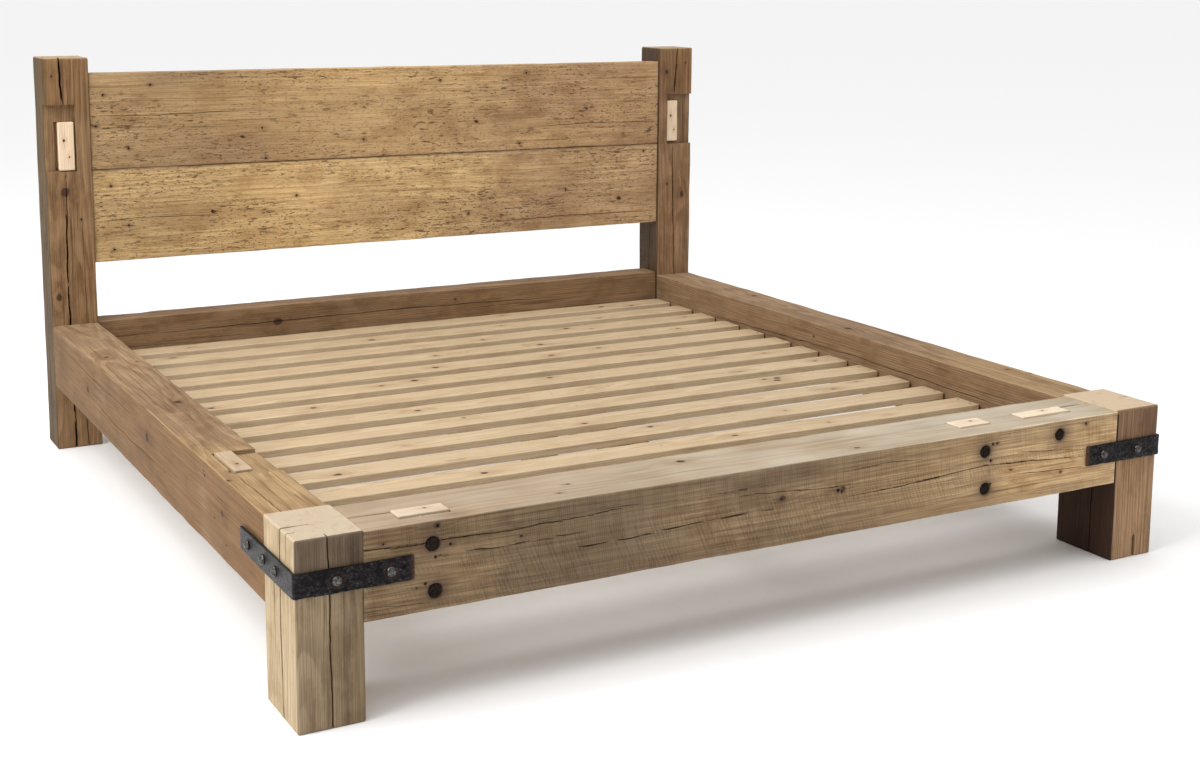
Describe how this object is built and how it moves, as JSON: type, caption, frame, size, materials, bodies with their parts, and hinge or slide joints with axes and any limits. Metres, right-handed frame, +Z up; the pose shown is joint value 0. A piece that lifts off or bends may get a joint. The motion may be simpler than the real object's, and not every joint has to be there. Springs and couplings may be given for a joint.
{
  "type": "bed frame",
  "caption": "Low heavy-timber bed frame with square posts, thick rails, a two-plank headboard, iron corner straps and a slatted deck on a centre beam.",
  "frame": {"origin": "on the floor, under the middle of the frame's overall box", "axes": "+X to the right as seen from the foot, +Y to the headboard, +Z up"},
  "size_m": [2.278, 2.37, 1.184],
  "materials": {
    "barn_timber": "old sawn softwood, waxed",
    "headboard_plank": "old planed plank, waxed",
    "new_pine": "planed",
    "old_peg": "dark weathered",
    "oak_peg": "split",
    "rough_pine": "planed",
    "forged_iron": "hammered, waxed black",
    "bolt_steel": "blackened",
    "zinc_steel": "zinc plated",
    "levelling_foot": "zinc plated"
  },
  "bodies": {
    "bed": {"batten_screws": "zinc_steel", "beam_hanger_foot": "zinc_steel", "beam_hanger_head": "zinc_steel", "centre_beam": "rough_pine", "centre_leg_1": "rough_pine", "centre_leg_2": "rough_pine", "centre_leg_3": "rough_pine", "corner_strap_left": "forged_iron", "corner_strap_right": "forged_iron", "foot_post_left": "barn_timber", "foot_post_right": "barn_timber", "foot_rail": "barn_timber", "foot_rail_old_pegs": "old_peg", "foot_rail_plug_left": "new_pine", "foot_rail_plug_middle": "new_pine", "foot_rail_plug_right": "new_pine", "hanger_screws": "zinc_steel", "head_cross_rail": "barn_timber", "head_joint_pegs": "oak_peg", "head_post_left": "barn_timber", "head_post_plug_left": "new_pine", "head_post_plug_right": "new_pine", "head_post_right": "barn_timber", "headboard_batten_centre": "rough_pine", "headboard_batten_left": "rough_pine", "headboard_batten_right": "rough_pine", "headboard_plank_lower": "headboard_plank", "headboard_plank_upper": "headboard_plank", "ledger_screws": "zinc_steel", "leg_inserts": "zinc_steel", "leg_screws": "zinc_steel", "rail_nuts": "zinc_steel", "rail_studs": "zinc_steel", "rail_washers": "zinc_steel", "side_ledger_left": "rough_pine", "side_ledger_right": "rough_pine", "side_rail_left": "barn_timber", "side_rail_plug_left": "new_pine", "side_rail_right": "barn_timber", "slat_01": "rough_pine", "slat_02": "rough_pine", "slat_03": "rough_pine", "slat_04": "rough_pine", "slat_05": "rough_pine", "slat_06": "rough_pine", "slat_07": "rough_pine", "slat_08": "rough_pine", "slat_09": "rough_pine", "slat_10": "rough_pine", "slat_11": "rough_pine", "slat_12": "rough_pine", "slat_13": "rough_pine", "slat_14": "rough_pine", "slat_screws": "zinc_steel", "strap_bolts": "bolt_steel"},
    "levelling_foot_1": {"levelling_foot_1": "levelling_foot"},
    "levelling_foot_2": {"levelling_foot_2": "levelling_foot"},
    "levelling_foot_3": {"levelling_foot_3": "levelling_foot"}
  },
  "joints": [
    {"name": "screw_out_1", "type": "slide", "parent": "bed", "child": "levelling_foot_1", "axis": [0, 0, -1], "range_m": [0, 0.02]},
    {"name": "screw_out_2", "type": "slide", "parent": "bed", "child": "levelling_foot_2", "axis": [0, 0, -1], "range_m": [0, 0.02]},
    {"name": "screw_out_3", "type": "slide", "parent": "bed", "child": "levelling_foot_3", "axis": [0, 0, -1], "range_m": [0, 0.02]}
  ]
}
